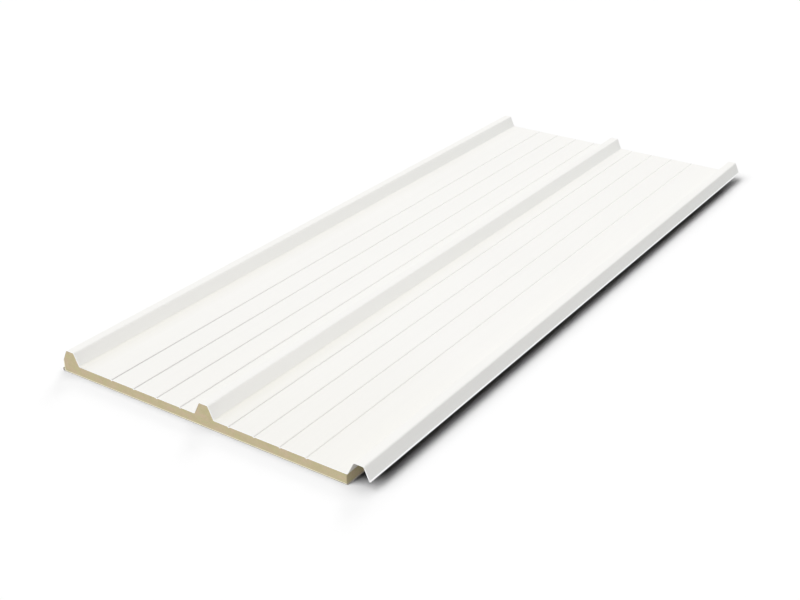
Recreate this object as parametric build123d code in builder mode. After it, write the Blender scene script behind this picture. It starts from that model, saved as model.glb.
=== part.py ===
from build123d import *
from math import atan2, cos, degrees, radians, sin, tan
import os

# Insulated roofing sandwich panel: a ribbed outer steel sheet and a flat inner steel sheet on a foam core.
# Millimetres. X runs across the ribs, with the overlap rib on +X. Y runs along the ribs, and Z is up.
# The origin is on the underside, below the middle rib, halfway along the panel.

# Overall sizes
panel_length = 2500.0
cover_width = 1000.0
core_thickness = 30.0
outer_gauge = 0.6
inner_gauge = 0.5

# The sawn core stands back a little from the sheets' cut ends
core_setback = 0.8

# Ribs of the outer sheet, measured on its underside
rib_height = 39.0
crest_width = 29.0
rib_base = 66.0
bend_radius = 6.0

# Fine stiffening grooves, pressed down into the core on both sides of the middle rib
grooves_per_pan = 4
first_groove = 85.0
groove_pitch = 85.0
groove_width = 7.0
groove_floor = 3.0
groove_depth = 2.5

# Underlap rib: its crest is narrower on the outside, and its sheet is trimmed just above the foot
underlap_relief = 1.5
underlap_trim = 1.5

# Overlap rib: it clears the next panel's underlap rib, its free leg stops above that panel's pan,
# and the edge of the leg is kicked outwards, over that pan
lap_clearance = 0.8
lap_edge_gap = 4.5
lap_kick = 4.0
lap_kick_slope = 20.0
lap_kick_radius = 1.5

# Long joint on the inside: an upstanding hemmed lip fills the gap that two cores leave between them,
# and laps over the flat flange of the next panel's inner sheet
joint_gap = 6.5
lip_clearance = 0.5
lip_height = 10.0
lip_hem = 3.0
flange_reach = 4.0
flange_clearance = 0.1
joggle_start = 0.5
joggle_run = 1.2
inner_bend_radius = 1.0

# Places worked out from the sizes above
rib_pitch = cover_width / 2
pan_level = inner_gauge + core_thickness
crest_level = pan_level + rib_height
flank_run = (rib_base - crest_width) / 2
flank_angle = degrees(atan2(rib_height, flank_run))
core_left = -(rib_pitch + rib_base / 2 - underlap_relief - underlap_trim)
core_right = cover_width + core_left - joint_gap
lip_reach = joint_gap - lip_clearance
lip_lift = inner_gauge + flange_clearance


def groove(centre):
    """Corners of one groove, from left to right."""
    floor_level = pan_level - groove_depth
    return [
        (centre - groove_width / 2, pan_level),
        (centre - groove_floor / 2, floor_level),
        (centre + groove_floor / 2, floor_level),
        (centre + groove_width / 2, pan_level),
    ]


def pan_grooves(side):
    """Corners of all the grooves on one side of the middle rib, from left to right."""
    places = [side * (first_groove + number * groove_pitch) for number in range(grooves_per_pan)]
    corners = []
    for centre in sorted(places):
        corners += groove(centre)
    return corners


def underlap_rib():
    """Corners of the left rib, which starts at the core's side, partway up the outer flank."""
    crest_edge = -rib_pitch - crest_width / 2 + underlap_relief
    start_level = crest_level - (crest_edge - core_left) * rib_height / flank_run
    start = (core_left, start_level)
    bends = [
        (crest_edge, crest_level),
        (-rib_pitch + crest_width / 2, crest_level),
        (-rib_pitch + rib_base / 2, pan_level),
    ]
    return start, bends


def middle_rib():
    """Corners of the middle rib, foot to foot."""
    return [
        (-rib_base / 2, pan_level),
        (-crest_width / 2, crest_level),
        (crest_width / 2, crest_level),
        (rib_base / 2, pan_level),
    ]


def overlap_rib():
    """Corners of the right rib, raised to lie over the next panel's underlap rib, then of its kicked edge."""
    lap_offset = outer_gauge + lap_clearance
    lap_crest_level = crest_level + lap_offset
    lap_rise = lap_offset * flank_run / rib_height
    outer_corner = rib_pitch + crest_width / 2 + lap_offset * tan(radians(flank_angle / 2))
    leg_end_level = pan_level + outer_gauge + lap_edge_gap
    leg_run = (lap_crest_level - leg_end_level) * flank_run / rib_height
    bends = [
        (rib_pitch - rib_base / 2, pan_level),
        (rib_pitch - crest_width / 2 + lap_rise, lap_crest_level),
        (outer_corner, lap_crest_level),
    ]
    leg_end = (outer_corner + leg_run, leg_end_level)
    kick_angle = radians(lap_kick_slope)
    free_edge = (leg_end[0] + lap_kick * cos(kick_angle), leg_end_level - lap_kick * sin(kick_angle))
    return bends, leg_end, free_edge


def outer_sheet_underside():
    """The line that the outer sheet and the core share, drawn from the underlap side to the overlap leg."""
    start, left_bends = underlap_rib()
    right_bends, leg_end, free_edge = overlap_rib()
    left_grooves = pan_grooves(-1)
    right_grooves = pan_grooves(1)
    ribs_and_pans = left_bends + left_grooves + middle_rib() + right_grooves + right_bends
    radii = (
        [bend_radius] * len(left_bends)
        + [0] * len(left_grooves)
        + [bend_radius] * len(middle_rib())
        + [0] * len(right_grooves)
        + [bend_radius] * len(right_bends)
        + [lap_kick_radius]
    )
    return FilletPolyline(start, *ribs_and_pans, leg_end, free_edge, radius=radii)


# Outer sheet: one roll-formed steel sheet with three ribs, the right one hollow
with BuildPart() as outer_sheet:
    with BuildSketch(Plane.XZ) as outer_section:
        with BuildLine():
            underside = outer_sheet_underside()
            offset(underside, amount=outer_gauge, side=Side.LEFT, kind=Kind.INTERSECTION)
        make_face()
    extrude(amount=panel_length / 2, both=True)

# Inner sheet: flat, with a hemmed lip past a small joggle on the underlap side and a flat flange on the other
with BuildPart() as inner_sheet:
    with BuildSketch(Plane.XZ) as inner_section:
        with BuildLine():
            outer_bend = inner_gauge + inner_bend_radius
            face_line = FilletPolyline(
                (core_left - lip_reach + lip_hem, lip_height),
                (core_left - lip_reach, lip_height),
                (core_left - lip_reach, lip_lift),
                (core_left - joggle_start - joggle_run, lip_lift),
                (core_left - joggle_start, 0),
                (core_right + flange_reach, 0),
                radius=[outer_bend, outer_bend, inner_bend_radius, inner_bend_radius],
            )
            offset(face_line, amount=inner_gauge, side=Side.LEFT)
        make_face()
    extrude(amount=panel_length / 2, both=True)

# Foam core: it fills the space between the sheets, the left and middle ribs included
with BuildPart() as foam_core:
    with BuildSketch(Plane.XZ) as core_section:
        with BuildLine():
            top_line = outer_sheet_underside()
            far_corner = (top_line @ 1).X
            Polyline(top_line @ 1, (far_corner, inner_gauge), (core_left, inner_gauge), top_line @ 0)
        make_face()
        with Locations((core_left, inner_gauge)):
            Rectangle(
                core_right - core_left,
                core_thickness + 2 * rib_height,
                align=(Align.MIN, Align.MIN),
                mode=Mode.INTERSECT,
            )
    extrude(amount=panel_length / 2 - core_setback, both=True)

outer_sheet.part.label = "outer_sheet"
inner_sheet.part.label = "inner_sheet"
foam_core.part.label = "foam_core"

os.makedirs("parts", exist_ok=True)
export_step(outer_sheet.part, "parts/outer_sheet.step")
export_step(inner_sheet.part, "parts/inner_sheet.step")
export_step(foam_core.part, "parts/foam_core.step")
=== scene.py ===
"""Insulated roofing sandwich panel: finish, floor, light and camera. Metres, in the CAD model's frame."""

from math import pi, radians

import bpy
from mathutils import Matrix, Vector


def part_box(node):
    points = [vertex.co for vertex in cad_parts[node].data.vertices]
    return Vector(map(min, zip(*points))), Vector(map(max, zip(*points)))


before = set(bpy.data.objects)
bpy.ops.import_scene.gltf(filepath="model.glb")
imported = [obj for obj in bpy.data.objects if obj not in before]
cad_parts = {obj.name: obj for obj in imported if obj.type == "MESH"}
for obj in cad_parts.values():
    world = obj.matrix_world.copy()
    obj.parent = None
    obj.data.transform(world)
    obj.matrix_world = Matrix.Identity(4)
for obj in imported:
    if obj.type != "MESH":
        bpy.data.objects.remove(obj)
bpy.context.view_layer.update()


def grey(level):
    """A neutral linear colour."""
    return (level, level, level, 1.0)


def colour(red, green, blue):
    """A screen colour, 0 to 255, as the linear colour that a shader takes."""
    linear = []
    for level in (red, green, blue):
        share = level / 255
        linear.append(share / 12.92 if share <= 0.04045 else ((share + 0.055) / 1.055) ** 2.4)
    return (*linear, 1.0)


def shade(tint, share):
    """The same colour, darker."""
    return tuple(share * level for level in tint[:3]) + (1.0,)


# Camera, solved from the photograph's groove, rib and edge lines
CAMERA_PLACE = (1.98637, -3.28597, 1.79941)
CAMERA_YAW = -33.854
CAMERA_PITCH = 26.933
CAMERA_ROLL = 0.134
FOCAL_PIXELS = 1251.98
IMAGE_WIDTH = 800
SENSOR_WIDTH = 36.0

# Lamps: what each gives a level white surface (about 1 in all), how far it leans to the left and to the
# front of straight above, and how wide it looks, in degrees. The panel and the floor have lamps of their
# own, because the photograph's floor shadow is deeper than the panel's soft shading.
PANEL_LAMPS = {
    "sky": (0.71, 0.0, 0.0, 178.0),
    "key": (0.135, 16.0, 32.0, 48.0),
    "front": (0.12, 0.0, 60.0, 40.0),
    "back": (0.02, 0.0, -50.0, 24.0),
}
FLOOR_LAMPS = {
    "floor_key": (0.607, 12.9, 34.1, 46.2),
    "floor_top": (0.324, -2.6, -6.7, 69.0),
    "floor_back": (0.069, 18.8, -64.0, 22.8),
}

# Floor, a hair below the underside, and the card on it that gives its light back to the panel
FLOOR_LEVEL = -0.0006
CARD_LEVEL = -0.0003
FLOOR_SIZE = 14.0
FLOOR_TONE = 1.005
CARD_TONE = 0.45
CARD_GLOW = 0.005

# The panel's own places, for the marks that follow its section. The outer sheet is lowest under a groove.
SHEET_LOW, SHEET_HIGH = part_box("outer_sheet")
CORE_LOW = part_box("foam_core")[0]
SHEET_GAUGE = 0.0006
GROOVE_DEPTH = 0.0025
PAN_LEVEL = SHEET_LOW[2] + GROOVE_DEPTH + SHEET_GAUGE
RIB_PITCH = 0.5
RIB_BASE = 0.066
RIB_FEET = (RIB_BASE / 2 - RIB_PITCH, RIB_BASE / 2)
KICK_WIDTH = 0.0038

# Neither the paint nor the foam has much gloss
DULL_SPECULAR = 0.2

# Paint: its two tones, the primers on the backs, its least and most roughness, and its relief. Here and
# below, a noise has so many bumps a metre, or a stretch that gives them along X, Y and Z.
WARM_WHITE = colour(250, 249, 246)
WARM_WHITE_LOW = shade(WARM_WHITE, 0.985)
PALE_PRIMER = colour(249, 245, 239)
# The grey primer's darkness is partly painted shade, for the inner sheet's flange under the overlap rib
GREY_PRIMER_AND_SHADE = colour(196, 190, 182)
DRIFT_BUMPS = 2.2
DRIFT_SHARE = 0.6
STREAK_STRETCH = (90.0, 0.8, 90.0)
STREAK_SHARE = 0.4
PAINT_ROUGHNESS = (0.46, 0.58)
PRIMER_ROUGHER = 0.12
PEEL_BUMPS = 1400.0
PEEL_RELIEF = 0.000012
WAVE_STRETCH = (7.0, 2.0, 7.0)
WAVE_RELIEF = 0.0006

# Bare steel: bright where it was sheared or rubbed, and darker along the ground as painted contact shade
BRIGHT_CUT = colour(255, 255, 255)
BRIGHT_CUT_LOW = shade(BRIGHT_CUT, 0.95)
CUT_BUMPS = 900.0
CUT_CONTACT_SHADE = colour(118, 114, 112)
CONTACT_SHADE_BELOW = 0.0006
BRIGHT_ABOVE = 0.0012
BARE_SMOOTHER = 0.2
RIM_WIDTH = 0.0030
RIM_BUMPS = 260.0
RIM_WANDER = 0.0008
RIM_FADE = 0.0004

# Painted shade and a khaki tint on the outer sheet, and how much each hides of the paint where it is
# thickest
KHAKI_TINT_AND_SHADE = colour(224, 221, 200)
GREY_PAINTED_SHADE = colour(230, 233, 231)
GROOVE_SHADE = colour(136, 131, 133)
NEAR_TINT_SHARE = 0.08
FOOT_SHADE_SHARE = 0.2
FLANK_SHADE_SHARE = 0.3
GROOVE_SHADE_SHARE = 0.57

# Khaki tint by the near end: how far it reaches from the sawn end, in full and at all, the X from which it
# lies in full, and the share that lies along the underlap side
NEAR_TINT_FULL = 0.2
NEAR_TINT_REACH = 0.7
NEAR_TINT_FULL_X = 0.3
NEAR_TINT_LEAST = 0.1

# Painted shade: how far it reaches from a rib's foot, the share that is left at the foot's far end, and the
# least share on the overlap rib's leg
FOOT_SHADE_REACH = 0.055
FOOT_SHADE_LEAST = 0.1
LEG_SHADE_LEAST = 0.45

# The share of the grooves' painted shade that is left a metre further from the near left corner
GROOVE_SHADE_LEFT_PER_METRE = 0.264

# Foam: two beiges in broad patches, a third in small clouds over them, its cells, pores and skin
GREEN_BEIGE = colour(217, 209, 165)
PINK_BEIGE = colour(226, 207, 178)
DEEP_BEIGE = colour(217, 203, 164)
CELL_TONE = colour(191, 176, 139)
PORE_TONE = colour(168, 152, 114)
SKIN_TONE = colour(255, 249, 224)
PATCH_BUMPS = 28.0
PATCH_STRETCH = (1.0, 1.0, 1.8)
CLOUD_BUMPS = 75.0
CLOUD_STRETCH = (1.0, 1.0, 1.3)
CELL_BUMPS = 1250.0
CELL_SHARE = 0.35
PORE_BUMPS = 520.0
PORE_SHARE = 0.35
# Painted shade on the foam's sides
SIDE_SHADE_TONE = 0.95
SKIN_DEPTH = 0.0022
SKIN_WANDER = 0.0012
SKIN_FADE = 0.0003
SAW_STRETCH = (420.0, 1.0, 14.0)
SAW_RELIEF = 0.00025
CELL_RELIEF = 0.00035
PORE_RELIEF = 0.0005
FOAM_ROUGHNESS = 0.92


def new_material(name):
    """An empty node material with its output and a Principled shader."""
    material = bpy.data.materials.new(name)
    material.use_nodes = True
    tree = material.node_tree
    tree.nodes.clear()
    output = tree.nodes.new("ShaderNodeOutputMaterial")
    shader = tree.nodes.new("ShaderNodeBsdfPrincipled")
    tree.links.new(shader.outputs["BSDF"], output.inputs["Surface"])
    return material, tree, shader


def put(tree, socket, value):
    """Links a socket into another one, or writes a plain value there."""
    if isinstance(value, bpy.types.NodeSocket):
        tree.links.new(value, socket)
    else:
        socket.default_value = value


def calc(tree, operation, first, second=0.0):
    """One Math node."""
    node = tree.nodes.new("ShaderNodeMath")
    node.operation = operation
    put(tree, node.inputs[0], first)
    put(tree, node.inputs[1], second)
    return node.outputs[0]


def product(tree, first, *others):
    """All the values multiplied."""
    for value in others:
        first = calc(tree, "MULTIPLY", first, value)
    return first


def mix(tree, share, first, second, blend="MIX"):
    """One colour Mix node."""
    node = tree.nodes.new("ShaderNodeMix")
    node.data_type = "RGBA"
    node.blend_type = blend
    put(tree, node.inputs["Factor"], share)
    put(tree, node.inputs["A"], first)
    put(tree, node.inputs["B"], second)
    return node.outputs["Result"]


def ramp(tree, value, low, high, to_low=0.0, to_high=1.0):
    """Maps a value from one range to another, held at its ends."""
    node = tree.nodes.new("ShaderNodeMapRange")
    put(tree, node.inputs["Value"], value)
    node.inputs["From Min"].default_value = low
    node.inputs["From Max"].default_value = high
    node.inputs["To Min"].default_value = to_low
    node.inputs["To Max"].default_value = to_high
    return node.outputs["Result"]


def place(tree, stretch=(1.0, 1.0, 1.0)):
    """The point on the object in metres, stretched along its axes."""
    coordinates = tree.nodes.new("ShaderNodeTexCoord")
    mapping = tree.nodes.new("ShaderNodeMapping")
    mapping.inputs["Scale"].default_value = stretch
    tree.links.new(coordinates.outputs["Object"], mapping.inputs["Vector"])
    return mapping.outputs["Vector"]


def parts_of(tree, vector):
    """The X, Y and Z of a vector."""
    parts = tree.nodes.new("ShaderNodeSeparateXYZ")
    tree.links.new(vector, parts.inputs["Vector"])
    return parts.outputs["X"], parts.outputs["Y"], parts.outputs["Z"]


def facing(tree):
    """The face's own direction, as X, Y and Z."""
    geometry = tree.nodes.new("ShaderNodeNewGeometry")
    return parts_of(tree, geometry.outputs["True Normal"])


def noise(tree, bumps=1.0, stretch=(1.0, 1.0, 1.0), detail=2.0, roughness=0.5):
    """One noise texture on the object, as a value around 0.5."""
    node = tree.nodes.new("ShaderNodeTexNoise")
    tree.links.new(place(tree, stretch), node.inputs["Vector"])
    node.inputs["Scale"].default_value = bumps
    node.inputs["Detail"].default_value = detail
    node.inputs["Roughness"].default_value = roughness
    return node.outputs["Fac"]


def bump(tree, height, depth, before=None):
    """A bump of that depth in metres, on top of another."""
    node = tree.nodes.new("ShaderNodeBump")
    node.inputs["Strength"].default_value = 1.0
    node.inputs["Distance"].default_value = depth
    tree.links.new(height, node.inputs["Height"])
    if before is not None:
        tree.links.new(before, node.inputs["Normal"])
    return node.outputs["Normal"]


def on_cut_end(tree, along):
    """1 on the faces that look along the panel, which are its cut ends, and 0 elsewhere."""
    return ramp(tree, calc(tree, "ABSOLUTE", along), 0.90, 0.98)


def on_pan(tree, z):
    """1 on the pans and in their grooves, and 0 on the ribs, from 4 mm above the pans."""
    return ramp(tree, z, PAN_LEVEL + 0.004, PAN_LEVEL + 0.001)


def near_end_tint(tree):
    """A khaki tint over the pans by the sawn near end, most of it towards the overlap rib."""
    x, y, z = parts_of(tree, place(tree))
    by_end = ramp(tree, y, SHEET_LOW[1] + NEAR_TINT_FULL, SHEET_LOW[1] + NEAR_TINT_REACH, 1.0, 0.0)
    by_side = ramp(tree, x, SHEET_LOW[0], NEAR_TINT_FULL_X, NEAR_TINT_LEAST, 1.0)
    return product(tree, on_pan(tree, z), by_end, by_side)


def foot_painted_shade(tree):
    """Painted shade on the pans along the feet that face the overlap rib, fainter away from them and with
    Y.
    """
    x, y, z = parts_of(tree, place(tree))
    away = [calc(tree, "ABSOLUTE", calc(tree, "SUBTRACT", x, foot)) for foot in RIB_FEET]
    near_foot = ramp(tree, calc(tree, "MINIMUM", *away), FOOT_SHADE_REACH, 0.0)
    fading = ramp(tree, y, SHEET_LOW[1], SHEET_HIGH[1], 1.0, FOOT_SHADE_LEAST)
    return product(tree, near_foot, on_pan(tree, z), fading)


def flank_painted_shade(tree, across):
    """Painted shade on the flanks that face the overlap side: more with Y, and some all along the overlap
    leg.
    """
    x, y, _ = parts_of(tree, place(tree))
    on_flank = ramp(tree, across, 0.4, 0.8)
    far = ramp(tree, y, SHEET_LOW[1], SHEET_HIGH[1])
    on_leg = ramp(tree, x, RIB_PITCH - 0.1, RIB_PITCH, 0.0, LEG_SHADE_LEAST)
    return product(tree, on_flank, calc(tree, "MAXIMUM", far, on_leg))


def groove_painted_shade(tree, across):
    """Painted shade in the grooves, most on the facet towards the overlap rib and by the near left corner.
    """
    x, y, z = parts_of(tree, place(tree))
    in_groove = ramp(tree, z, PAN_LEVEL - 0.0001, PAN_LEVEL - 0.0007)
    on_facet = ramp(tree, across, 0.1, 0.6)
    away_x = calc(tree, "SUBTRACT", x, SHEET_LOW[0])
    away_y = calc(tree, "SUBTRACT", y, SHEET_LOW[1])
    squares = calc(tree, "ADD", calc(tree, "POWER", away_x, 2.0), calc(tree, "POWER", away_y, 2.0))
    fading = calc(tree, "POWER", GROOVE_SHADE_LEFT_PER_METRE, calc(tree, "SQRT", squares))
    return product(tree, in_groove, on_facet, fading)


def marked(tree, paint, across):
    """The outer sheet's paint under its khaki tint and painted shade."""
    marks = (
        (near_end_tint(tree), NEAR_TINT_SHARE, KHAKI_TINT_AND_SHADE),
        (foot_painted_shade(tree), FOOT_SHADE_SHARE, KHAKI_TINT_AND_SHADE),
        (flank_painted_shade(tree, across), FLANK_SHADE_SHARE, GREY_PAINTED_SHADE),
        (groove_painted_shade(tree, across), GROOVE_SHADE_SHARE, GROOVE_SHADE),
    )
    for amount, share, tint in marks:
        paint = mix(tree, product(tree, amount, share), paint, tint)
    return paint


def bare_places(tree, along, on_front):
    """Where there is no paint: on the cut ends, on the rim by them, where the shears crushed it off, and
    on the kicked edge of the overlap leg, where it is rubbed off."""
    x, y, _ = parts_of(tree, place(tree))
    wander = calc(tree, "MULTIPLY", noise(tree, RIM_BUMPS), RIM_WANDER)
    rim_edge = calc(tree, "ADD", wander, SHEET_HIGH[1] - RIM_WIDTH)
    at_rim = ramp(tree, calc(tree, "SUBTRACT", calc(tree, "ABSOLUTE", y), rim_edge), 0.0, RIM_FADE)
    kick_start = SHEET_HIGH[0] - KICK_WIDTH
    at_kick = ramp(tree, x, kick_start, kick_start + RIM_FADE)
    rubbed = product(tree, calc(tree, "MAXIMUM", at_rim, at_kick), on_front)
    return calc(tree, "MAXIMUM", on_cut_end(tree, along), rubbed)


def coated_steel(name, backing, painted_up):
    """Coil-painted steel: dull paint on the seen side, a primer on the back and bare metal where it is cut
    or rubbed. A khaki tint and painted shade lie on the sheet that is painted on top."""
    material, tree, shader = new_material(name)
    across, along, up = facing(tree)
    x, _, z = parts_of(tree, place(tree))

    # The back is the side towards the core. The lip, 0.6 mm and more outside the core, is painted all over.
    side = up if painted_up else calc(tree, "MULTIPLY", up, -1.0)
    past_lip = ramp(tree, x, CORE_LOW[0] - 0.0006, CORE_LOW[0] - 0.0002)
    on_back = product(tree, ramp(tree, side, 0.02, -0.02), past_lip)
    on_front = calc(tree, "SUBTRACT", 1.0, on_back)

    # Slow drift in the paint's tone, and faint streaks along the rolling direction
    drift = calc(tree, "MULTIPLY", noise(tree, DRIFT_BUMPS, detail=3.0), DRIFT_SHARE)
    streaks = calc(tree, "MULTIPLY", noise(tree, stretch=STREAK_STRETCH, detail=3.0), STREAK_SHARE)
    tone = calc(tree, "ADD", drift, streaks)
    paint = mix(tree, ramp(tree, tone, 0.35, 0.62), WARM_WHITE_LOW, WARM_WHITE)
    # A khaki tint and painted shade on the outer sheet
    if painted_up:
        paint = marked(tree, paint, across)
    painted = mix(tree, on_back, paint, backing)

    # Bare steel over it
    is_bare = bare_places(tree, along, on_front)
    bare = mix(tree, noise(tree, CUT_BUMPS), BRIGHT_CUT_LOW, BRIGHT_CUT)
    # Painted contact shade: the bare steel is darker along the ground
    bare = mix(tree, ramp(tree, z, CONTACT_SHADE_BELOW, BRIGHT_ABOVE), CUT_CONTACT_SHADE, bare)
    put(tree, shader.inputs["Base Color"], mix(tree, is_bare, painted, bare))
    put(tree, shader.inputs["Metallic"], is_bare)

    # The primer is rougher than the paint, and bare steel is smoother
    roughness = ramp(tree, tone, 0.3, 0.7, *PAINT_ROUGHNESS)
    roughness = calc(tree, "ADD", roughness, calc(tree, "MULTIPLY", on_back, PRIMER_ROUGHER))
    roughness = calc(tree, "SUBTRACT", roughness, calc(tree, "MULTIPLY", is_bare, BARE_SMOOTHER))
    put(tree, shader.inputs["Roughness"], roughness)
    shader.inputs["Specular IOR Level"].default_value = DULL_SPECULAR

    # Orange peel in the paint, and the long shallow waves of thin sheet between its bends
    waves = bump(tree, noise(tree, stretch=WAVE_STRETCH), WAVE_RELIEF)
    put(tree, shader.inputs["Normal"], bump(tree, noise(tree, PEEL_BUMPS), PEEL_RELIEF, waves))
    return material


def foam_skin(tree, clouds, at_end):
    """Where the pale dense skin shows on the sawn ends: along the inner sheet and up the underlap side."""
    x, _, z = parts_of(tree, place(tree))
    skin_depth = calc(tree, "ADD", calc(tree, "MULTIPLY", clouds, SKIN_WANDER), SKIN_DEPTH)
    above_sheet = calc(tree, "SUBTRACT", z, CORE_LOW[2])
    past_side = calc(tree, "SUBTRACT", x, CORE_LOW[0])
    from_edge = calc(tree, "MINIMUM", above_sheet, past_side)
    in_skin = ramp(tree, calc(tree, "SUBTRACT", skin_depth, from_edge), 0.0, SKIN_FADE)
    return product(tree, in_skin, at_end)


def rigid_foam(name):
    """Rigid foam with patches of colour, cells and pores, and on its ends a pale skin and saw lines."""
    material, tree, shader = new_material(name)
    _, along, _ = facing(tree)
    at_end = on_cut_end(tree, along)

    # Broad patches between a greener and a pinker beige, with small deeper clouds
    patches = noise(tree, PATCH_BUMPS, PATCH_STRETCH, 3.0, 0.6)
    clouds = noise(tree, CLOUD_BUMPS, CLOUD_STRETCH)
    beige = mix(tree, ramp(tree, patches, 0.38, 0.62), GREEN_BEIGE, PINK_BEIGE)
    beige = mix(tree, ramp(tree, clouds, 0.45, 0.75), beige, DEEP_BEIGE)

    # Cells and pores
    cells = tree.nodes.new("ShaderNodeTexVoronoi")
    tree.links.new(place(tree), cells.inputs["Vector"])
    cells.inputs["Scale"].default_value = CELL_BUMPS
    hollow = ramp(tree, cells.outputs["Distance"], 0.1, 0.75)
    pores = ramp(tree, noise(tree, PORE_BUMPS), 0.62, 0.74)
    celled = mix(tree, calc(tree, "MULTIPLY", hollow, CELL_SHARE), beige, CELL_TONE)
    celled = mix(tree, calc(tree, "MULTIPLY", pores, PORE_SHARE), celled, PORE_TONE)

    # Painted shade: the sides are a little darker than the sawn ends
    side_shaded = mix(tree, 1.0, celled, grey(SIDE_SHADE_TONE), "MULTIPLY")
    celled = mix(tree, at_end, side_shaded, celled)

    in_skin = foam_skin(tree, clouds, at_end)
    put(tree, shader.inputs["Base Color"], mix(tree, in_skin, celled, SKIN_TONE))
    shader.inputs["Roughness"].default_value = FOAM_ROUGHNESS
    shader.inputs["Specular IOR Level"].default_value = DULL_SPECULAR

    # Saw lines run up the cut ends
    saw_lines = calc(tree, "MULTIPLY", noise(tree, stretch=SAW_STRETCH), at_end)
    relief = bump(tree, saw_lines, SAW_RELIEF)
    relief = bump(tree, hollow, CELL_RELIEF, relief)
    put(tree, shader.inputs["Normal"], bump(tree, pores, PORE_RELIEF, relief))
    return material


def finish_panel():
    """Gives the three pieces their materials."""
    finish = {
        "outer_sheet": coated_steel("coated_steel_outer", PALE_PRIMER, True),
        "inner_sheet": coated_steel("coated_steel_inner", GREY_PRIMER_AND_SHADE, False),
        "foam_core": rigid_foam("rigid_foam_sawn"),
    }
    for node_name, material in finish.items():
        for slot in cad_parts[node_name].material_slots:
            slot.material = material


def level_plane(name, level):
    """One big level plane with an empty node material, kept out of the object."""
    bpy.ops.mesh.primitive_plane_add(size=FLOOR_SIZE, location=(0, 0, level))
    plane = bpy.context.object
    plane.name = name
    material = bpy.data.materials.new(name)
    material.use_nodes = True
    tree = material.node_tree
    tree.nodes.clear()
    plane.data.materials.append(material)
    return plane, tree


def make_floor():
    """A plain pale floor, white where nothing shades it. The card gives soft light back in its place."""
    floor, tree = level_plane("floor", FLOOR_LEVEL)
    output = tree.nodes.new("ShaderNodeOutputMaterial")
    matt = tree.nodes.new("ShaderNodeBsdfDiffuse")
    matt.inputs["Color"].default_value = grey(FLOOR_TONE)
    tree.links.new(matt.outputs["BSDF"], output.inputs["Surface"])
    floor.visible_diffuse = False
    return floor


def make_card():
    """A pale card on the floor that only soft light sees. It lights the panel from below, and its
    underside gives the floor's shadow a faint even glow in place of the panel's own."""
    card, tree = level_plane("bounce_card", CARD_LEVEL)
    output = tree.nodes.new("ShaderNodeOutputMaterial")
    matt = tree.nodes.new("ShaderNodeBsdfDiffuse")
    matt.inputs["Color"].default_value = grey(CARD_TONE)
    glow = tree.nodes.new("ShaderNodeEmission")
    glow.inputs["Strength"].default_value = CARD_GLOW
    geometry = tree.nodes.new("ShaderNodeNewGeometry")
    both = tree.nodes.new("ShaderNodeMixShader")
    tree.links.new(geometry.outputs["Backfacing"], both.inputs[0])
    tree.links.new(matt.outputs["BSDF"], both.inputs[1])
    tree.links.new(glow.outputs["Emission"], both.inputs[2])
    tree.links.new(both.outputs["Shader"], output.inputs["Surface"])
    card.data.materials[0].cycles.emission_sampling = "NONE"
    card.visible_camera = False
    card.visible_glossy = False
    card.visible_transmission = False
    card.visible_shadow = False
    return card


def make_world():
    """A background that is white to straight rays and reflections. The lamps give all the soft light."""
    world = bpy.data.worlds.new("studio")
    bpy.context.scene.world = world
    world.use_nodes = True
    tree = world.node_tree
    tree.nodes.clear()
    output = tree.nodes.new("ShaderNodeOutputWorld")
    white = tree.nodes.new("ShaderNodeBackground")
    path = tree.nodes.new("ShaderNodeLightPath")
    white.inputs["Color"].default_value = grey(1.0)
    straight = calc(tree, "MAXIMUM", path.outputs["Is Camera Ray"], path.outputs["Is Glossy Ray"])
    shown = calc(tree, "MAXIMUM", straight, path.outputs["Is Transmission Ray"])
    put(tree, white.inputs["Strength"], shown)
    tree.links.new(white.outputs["Background"], output.inputs["Surface"])


def make_lamp(name, level, left, front, spread, receivers, by_bounces):
    """A wide soft lamp far away, leaning left and to the front of straight above, for the receivers alone.
    Where by_bounces is set, bounced rays find it too, which leaves less noise."""
    lamp = bpy.data.lights.new(name, "SUN")
    lamp.angle = radians(spread)
    lamp.cycles.use_multiple_importance_sampling = by_bounces
    holder = bpy.data.objects.new(name, lamp)
    turn = Matrix.Rotation(radians(front), 4, "X") @ Matrix.Rotation(radians(-left), 4, "Y")
    holder.matrix_world = turn
    lamp.energy = level * pi / turn.col[2].z
    holder.visible_glossy = False
    bpy.context.scene.collection.objects.link(holder)
    lit = bpy.data.collections.new("lit_by_" + name)
    for receiver in receivers:
        lit.objects.link(receiver)
    holder.light_linking.receiver_collection = lit


def make_camera():
    """The photograph's viewpoint."""
    data = bpy.data.cameras.new("camera")
    data.sensor_width = SENSOR_WIDTH
    data.lens = FOCAL_PIXELS * SENSOR_WIDTH / IMAGE_WIDTH
    camera = bpy.data.objects.new("camera", data)
    bpy.context.scene.collection.objects.link(camera)
    heading = Matrix.Rotation(radians(-CAMERA_YAW), 4, "Z")
    tilt = Matrix.Rotation(radians(90 - CAMERA_PITCH), 4, "X")
    roll = Matrix.Rotation(radians(CAMERA_ROLL), 4, "Z")
    camera.matrix_world = Matrix.Translation(CAMERA_PLACE) @ heading @ tilt @ roll
    bpy.context.scene.camera = camera


finish_panel()
panel = list(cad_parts.values())
ground = [make_floor(), make_card()]
make_world()
for lamp_name, settings in PANEL_LAMPS.items():
    make_lamp(lamp_name, *settings, panel, True)
for lamp_name, settings in FLOOR_LAMPS.items():
    make_lamp(lamp_name, *settings, ground, False)
make_camera()
bpy.context.scene.view_settings.view_transform = "Standard"
